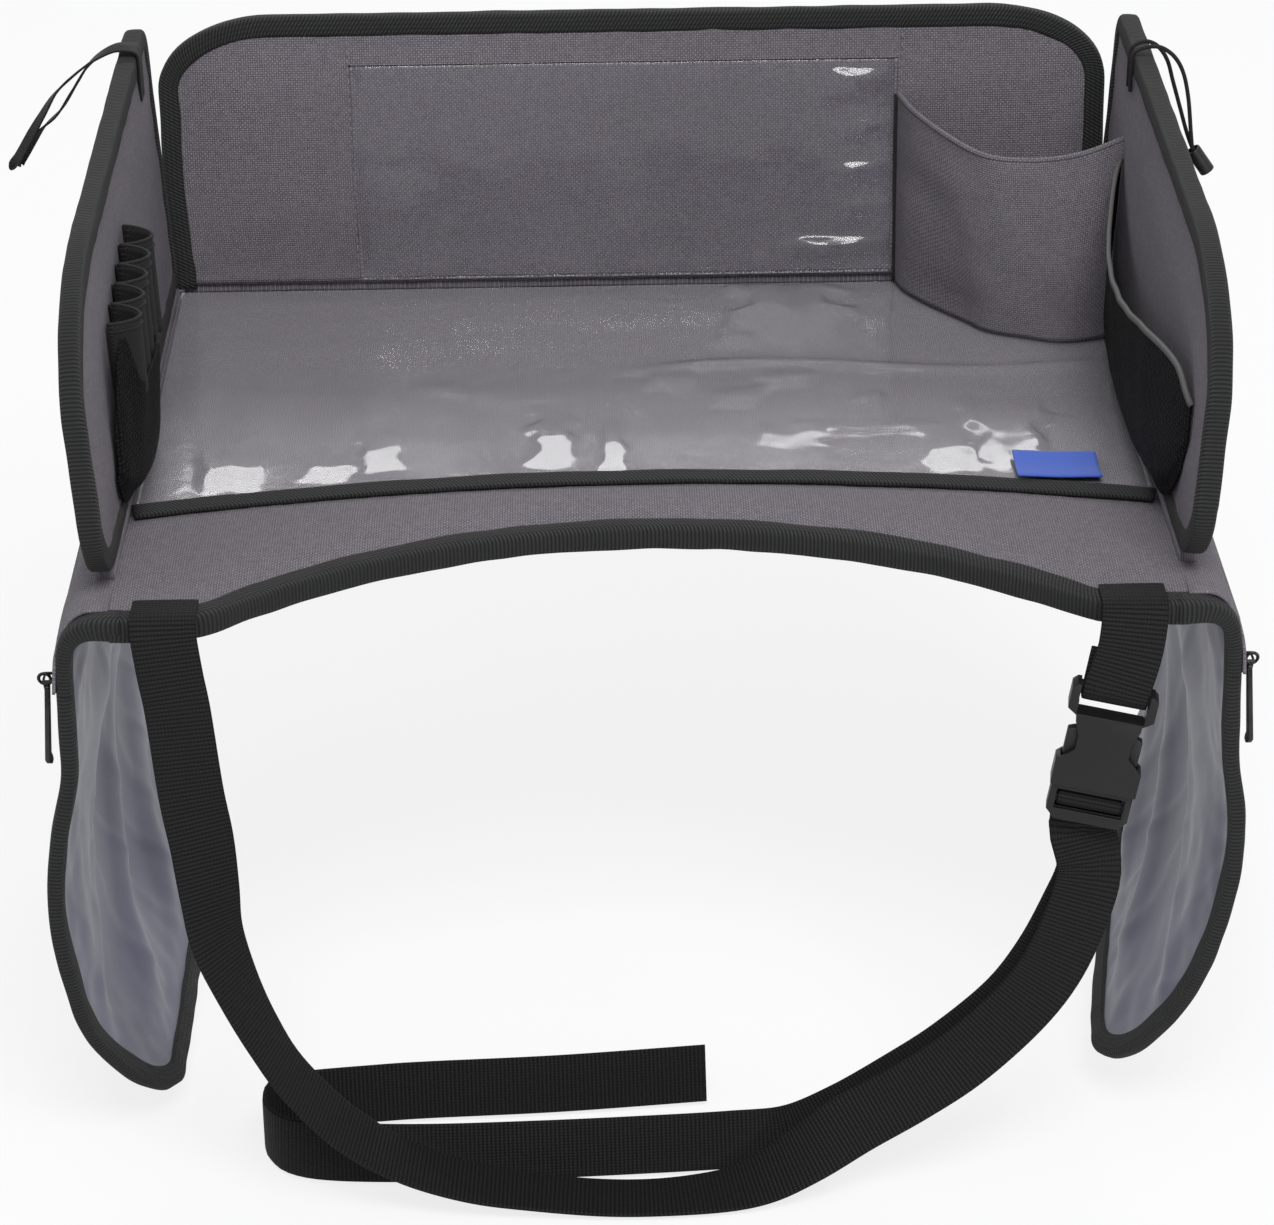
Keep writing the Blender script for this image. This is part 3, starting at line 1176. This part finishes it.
# Elastic on the wall tops
LOOP_ROUTE = (
    (-0.2087, 0.1090, 0.1165, 0, 1, 0),
    (-0.2087, 0.1090, 0.1210, 0, 1, 0),
    (-0.2088, 0.1090, 0.1280, 0, 1, 0),
    (-0.2089, 0.1090, 0.1330, 0, 1, 0),
    (-0.2090, 0.1090, 0.1362, 0, 1, 0),
    (-0.2103, 0.1091, 0.1381, 0, 1, 0.1),
    (-0.2145, 0.1093, 0.1391, 0, 1, 0.2),
    (-0.2205, 0.1097, 0.1384, -0.2, 1, 0.2),
    (-0.2280, 0.1100, 0.1338, -0.3, 0.8, -0.3),
    (-0.2365, 0.1100, 0.1275, -0.4, 0.6, -0.5),
    (-0.2450, 0.1100, 0.1195, -0.4, 0.5, -0.5),
    (-0.2520, 0.1105, 0.1090, -0.5, 0.5, -0.4),
    (-0.2575, 0.1110, 0.1000, -0.6, 0.5, -0.3),
    (-0.2640, 0.1120, 0.0890, -0.6, 0.5, -0.3),
    (-0.2655, 0.1150, 0.0855, -0.6, 0, -0.6),
    (-0.2625, 0.1180, 0.0875, -0.6, -0.5, -0.3),
    (-0.2545, 0.1200, 0.0990, -0.5, -0.5, -0.3),
    (-0.2455, 0.1205, 0.1075, -0.4, -0.5, -0.4),
    (-0.2385, 0.1205, 0.1180, -0.4, -0.5, -0.5),
    (-0.2320, 0.1192, 0.1280, -0.3, -0.8, -0.3),
    (-0.2255, 0.1175, 0.1343, 0, -1, 0),
    (-0.2190, 0.1160, 0.1380, 0, -1, 0),
    (-0.2140, 0.1155, 0.1385, 0, -1, 0),
    (-0.2103, 0.1152, 0.1381, 0, -1, 0),
    (-0.2090, 0.1150, 0.1362, 0, -1, 0),
    (-0.2089, 0.1150, 0.1330, 0, -1, 0),
    (-0.2088, 0.1150, 0.1280, 0, -1, 0),
    (-0.2087, 0.1150, 0.1210, 0, -1, 0),
    (-0.2087, 0.1150, 0.1165, 0, -1, 0),
)


def left_elastic_loop():
    return ribbon("left_elastic_loop", "webbing", band_route(LOOP_ROUTE, on_wall), LOOP_BAND_WIDTH,
                  LOOP_BAND_THICKNESS, LOOP_BAND_STEP)


CORD_ROUTE = (
    (0.2084, 0.0895, 0.1200), (0.2084, 0.0895, 0.1260), (0.2086, 0.0895, 0.1325),
    (0.2088, 0.0894, 0.1354), (0.2098, 0.0893, 0.1373), (0.2122, 0.0892, 0.1387),
    (0.2160, 0.0890, 0.1396), (0.2210, 0.0889, 0.1390),
    (0.2265, 0.0889, 0.1348), (0.2305, 0.0891, 0.1275), (0.2332, 0.0897, 0.1160),
    (0.2353, 0.0914, 0.1000), (0.2365, 0.0920, 0.0930),
    (0.2391, 0.0920, 0.0888), (0.2405, 0.0930, 0.0868), (0.2391, 0.0940, 0.0888),
    (0.2365, 0.0940, 0.0930), (0.2338, 0.0948, 0.1000), (0.2305, 0.0954, 0.1110),
    (0.2272, 0.0959, 0.1220), (0.2245, 0.0962, 0.1310), (0.2205, 0.0964, 0.1370),
    (0.2160, 0.0965, 0.1394), (0.2122, 0.0965, 0.1388), (0.2098, 0.0965, 0.1374),
    (0.2088, 0.0965, 0.1355), (0.2086, 0.0965, 0.1325), (0.2084, 0.0965, 0.1260),
    (0.2084, 0.0965, 0.1200),
)


def right_elastic_cord():
    route = [on_wall(Vector(place)) for place in CORD_ROUTE]
    cord = tube("right_elastic_cord", "webbing", route, CORD_DIAMETER, CORD_DIAMETER * 3)
    return [cord, build_toggle()]


def build_toggle():
    """The cord's end stop: a turned cup that the cord's loop hangs in."""
    profile = [
        (0, -TOGGLE_LENGTH + TOGGLE_RADIUS - TOGGLE_BORE),
        (TOGGLE_BORE, -TOGGLE_LENGTH + TOGGLE_RADIUS - TOGGLE_BORE), (TOGGLE_BORE, 0),
        (TOGGLE_RADIUS, 0), (TOGGLE_RADIUS, -TOGGLE_LENGTH), (0, -TOGGLE_LENGTH),
    ]
    shape = bmesh.new()
    verts = [shape.verts.new((x, 0, z)) for x, z in profile]
    for start, end in zip(verts, verts[1:]):
        shape.edges.new((start, end))
    mesh = bpy.data.meshes.new("cord_toggle")
    shape.to_mesh(mesh)
    shape.free()
    frame = Matrix.Translation(on_wall(TOGGLE_MOUTH)) @ Matrix.Rotation(-TOGGLE_TILT, 4, "Y")
    obj = add_object("cord_toggle", mesh, "plastic", frame)
    turned = obj.modifiers.new("Turned", "SCREW")
    turned.steps = TOGGLE_STEPS
    turned.render_steps = TOGGLE_STEPS
    turned.use_merge_vertices = True
    turned.merge_threshold = WELD
    return obj


clear_scene()
PARTS = new_collection("kids_travel_tray")
CUTTERS = new_collection("cutters")
build_tray()
build_clear_pocket()
build_side_walls()
build_back_wall()
build_corner_pocket()
build_flap(LEFT, "left")
build_flap(RIGHT, "right")
build_buckle()
build_straps()
